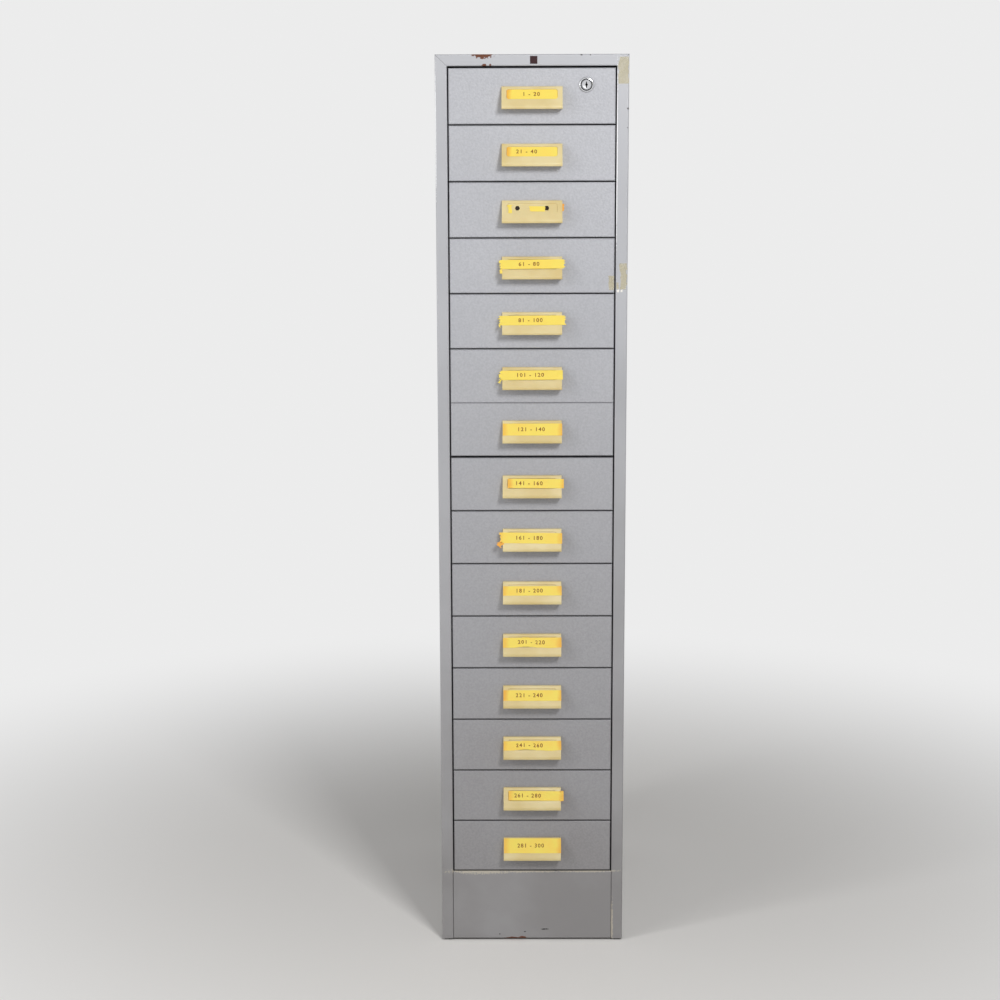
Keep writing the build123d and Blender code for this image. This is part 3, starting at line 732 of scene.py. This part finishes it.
# The keyway is a slot that widens in two steps towards its middle.
cut_slot(plug, 1.5, 8.8, 8.0)
cut_slot(plug, 3.6, 1.8, 4.0)
cut_slot(plug, 2.6, 3.4, 4.0)
# Painted shade inside the keyway.
paint_shade_inside(plug, 0.0, 4.6, 0.8)
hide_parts("lock_plug")
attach(plug, "lock_core")

for name in ("lock_nut", "lock_cam"):
    nodes[name].data.materials.clear()
    nodes[name].data.materials.append(zinc)

# ---------------------------------------------------------------------------
# Old sticky tape
# Clear tape that has yellowed and dried on, torn off at its ends: one piece over the mitre
# at the top right, one in two parts lower down the right stile, with shreds of white paper
# below it, and its other end on drawer 4.
# ---------------------------------------------------------------------------

TAPE_MM = 0.06
TAPE_BEIGE = "#D6CCA6"
TAPE_BEIGE_PALE = "#E2DAC0"
TAPE_CLOUD_MM = 14.0

dried_tape, tree, shader = new_material("dried_clear_tape")
place = add_node(tree, "ShaderNodeTexCoord").outputs["Object"]
stain = add_node(tree, "ShaderNodeTexNoise", {"Vector": place, "Scale": 1000 / TAPE_CLOUD_MM, "Detail": 3.0})
stain_range = add_node(tree, "ShaderNodeMapRange", {0: stain.outputs[0], 1: 0.35, 2: 0.7, 3: 0.0, 4: 1.0})
base = mix_colour(tree, stain_range.outputs[0], srgb(TAPE_BEIGE), srgb(TAPE_BEIGE_PALE))
tree.links.new(base, shader.inputs["Base Color"])
shader.inputs["Roughness"].default_value = 0.35
shader.inputs["Alpha"].default_value = 0.32

white_backing, tree, shader = new_material("torn_white_paper")
shader.inputs["Base Color"].default_value = srgb("#ECE9E2")
shader.inputs["Roughness"].default_value = 0.8


def stick_on_front(name, left, right, low, high, torn, finish, body):
    """A torn piece of tape or paper, flat on the front, between these places in millimetres."""
    piece = flat_strip((left, right), (low, high), torn)
    thicken(piece, TAPE_MM)
    piece.name = name
    piece.data.materials.append(finish)
    piece.matrix_world = Matrix.Translation((0, (front_face - TAPE_MM) * MM, 0)) @ Matrix.Rotation(pi / 2, 4, "X")
    bpy.ops.object.transform_apply(location=True, rotation=True, scale=False)
    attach(piece, body)


drawer_4_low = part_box("drawer_04_box")[0].z / MM
stick_on_front("tape_on_mitre", 123.0, 139.8, top_level - 42.0, top_level - 4.0, (1.2, 0.2), dried_tape, "cabinet")
stick_on_front("tape_on_stile", 127.4, 139.7, drawer_4_low + 5.0, drawer_4_low + 43.0, (1.6, 0.4), dried_tape,
               "cabinet")
stick_on_front("tape_on_stile_low", 123.0, 127.2, drawer_4_low + 5.4, drawer_4_low + 15.0, (0.6, 0.2), dried_tape,
               "cabinet")
stick_on_front("tape_scrap_low", 123.6, 128.4, drawer_4_low + 0.8, drawer_4_low + 4.6, (1.0, 1.0), white_backing,
               "cabinet")
stick_on_front("tape_scrap_lower", 129.0, 133.4, drawer_4_low + 1.2, drawer_4_low + 4.4, (1.0, 1.0), white_backing,
               "cabinet")
stick_on_front("tape_on_drawer", 110.6, 120.4, drawer_4_low + 4.0, drawer_4_low + 25.0, (1.8, 0.2), dried_tape,
               "drawer_04")

# ---------------------------------------------------------------------------
# Badge and glides
# A small enamelled plate on the top rail, bare, and black nylon glides under the corners.
# ---------------------------------------------------------------------------

BADGE_ROUND_MM = 0.25

badge_enamel, tree, shader = new_material("dark_red_enamel")
shader.inputs["Base Color"].default_value = srgb("#321A1C")
shader.inputs["Roughness"].default_value = 0.6
shader.inputs["Specular IOR Level"].default_value = 0.25
nodes["badge_plate"].data.materials.clear()
nodes["badge_plate"].data.materials.append(badge_enamel)
round_edges(nodes["badge_plate"], BADGE_ROUND_MM)

glide_nylon, tree, shader = new_material("black_nylon")
shader.inputs["Base Color"].default_value = srgb("#1C1C1D")
shader.inputs["Roughness"].default_value = 0.5
nodes["glide_feet"].data.materials.clear()
nodes["glide_feet"].data.materials.append(glide_nylon)

# ---------------------------------------------------------------------------
# Studio
# A plain pale floor that passes into a backdrop, a soft key from high on the right, a
# weak fill from the left, and the camera where the photograph was taken from.
# ---------------------------------------------------------------------------

FLOOR_PALE = "#EAE8E5"
FLOOR_SIZE_M = 40.0
AMBIENT = 0.28
BACKDROP_LEVEL = 0.84
SWEEP_START_M = 0.35
SWEEP_END_M = 1.7

bpy.ops.mesh.primitive_plane_add(size=FLOOR_SIZE_M, location=(0, 0, 0))
floor = bpy.context.object
floor.name = "studio_floor"
floor_paint, tree, shader = new_material("studio_floor_paint")
shader.inputs["Base Color"].default_value = srgb(FLOOR_PALE)
shader.inputs["Roughness"].default_value = 0.9
# Away from the cabinet the floor passes into the backdrop, as a paper sweep does.
place = add_node(tree, "ShaderNodeTexCoord").outputs["Object"]
reach = add_node(tree, "ShaderNodeVectorMath", {0: place}, operation="LENGTH")
away = add_node(tree, "ShaderNodeMapRange", {0: reach.outputs[1], 1: SWEEP_START_M, 2: SWEEP_END_M, 3: 0.0, 4: 1.0},
                interpolation_type="SMOOTHSTEP")
path = add_node(tree, "ShaderNodeLightPath")
seen = add_node(tree, "ShaderNodeMath", {0: path.outputs["Is Camera Ray"], 1: path.outputs["Is Glossy Ray"]},
                operation="MAXIMUM")
share = add_node(tree, "ShaderNodeMath", {0: seen.outputs[0], 1: away.outputs[0]}, operation="MULTIPLY")
glow = add_node(tree, "ShaderNodeEmission", {"Color": (1, 1, 1, 1), "Strength": BACKDROP_LEVEL})
swept = add_node(tree, "ShaderNodeMixShader", {0: share.outputs[0], 1: shader.outputs[0], 2: glow.outputs[0]})
output = next(node for node in tree.nodes if node.type == "OUTPUT_MATERIAL")
tree.links.new(swept.outputs[0], output.inputs["Surface"])
floor.data.materials.append(floor_paint)

world = bpy.data.worlds.new("studio_world")
bpy.context.scene.world = world
world.use_nodes = True
tree = world.node_tree
tree.nodes.clear()
path = add_node(tree, "ShaderNodeLightPath")
seen = add_node(tree, "ShaderNodeMath", {0: path.outputs["Is Camera Ray"], 1: path.outputs["Is Glossy Ray"]},
                operation="MAXIMUM")
ambient = add_node(tree, "ShaderNodeBackground", {"Color": (1, 1, 1, 1), "Strength": AMBIENT})
backdrop = add_node(tree, "ShaderNodeBackground", {"Color": (1, 1, 1, 1), "Strength": BACKDROP_LEVEL})
sky = add_node(tree, "ShaderNodeMixShader", {0: seen.outputs[0], 1: ambient.outputs[0], 2: backdrop.outputs[0]})
add_node(tree, "ShaderNodeOutputWorld", {0: sky.outputs[0]})


def area_light(name, place, target, width, height, power):
    """A soft light at place, turned towards target."""
    lamp = bpy.data.lights.new(name, "AREA")
    lamp.shape = "RECTANGLE"
    lamp.size = width
    lamp.size_y = height
    lamp.energy = power
    made = bpy.data.objects.new(name, lamp)
    made.location = place
    made.rotation_euler = (Vector(target) - Vector(place)).to_track_quat("-Z", "Y").to_euler()
    bpy.context.collection.objects.link(made)


area_light("key", (0.8, -2.2, 2.15), (0, -0.2, 1.0), 0.55, 0.55, 38)
area_light("fill", (-2.2, -1.9, 1.8), (0, 0, 1.0), 1.2, 1.2, 14)
area_light("edge", (-1.7, -1.2, 1.0), (0, -0.2, 0.8), 0.3, 1.6, 8)

# The camera was fitted to the photograph's edges: place in metres, turns in degrees.
CAMERA_X = -0.0260
CAMERA_DISTANCE = 3.0814
CAMERA_HEIGHT = 1.3229
LENS_MM = 75.6
PITCH = radians(11.4)
YAW = radians(-0.41)
ROLL = radians(0.19)

camera = bpy.data.objects.new("camera", bpy.data.cameras.new("camera"))
bpy.context.collection.objects.link(camera)
camera.data.lens = LENS_MM
camera.data.sensor_width = 36.0
camera.location = (CAMERA_X, front_face * MM - CAMERA_DISTANCE, CAMERA_HEIGHT)
turn = Matrix.Rotation(-YAW, 3, "Z") @ Matrix.Rotation(pi / 2 - PITCH, 3, "X") @ Matrix.Rotation(-ROLL, 3, "Z")
camera.rotation_euler = turn.to_euler()
bpy.context.scene.camera = camera
bpy.context.scene.view_settings.view_transform = "Standard"
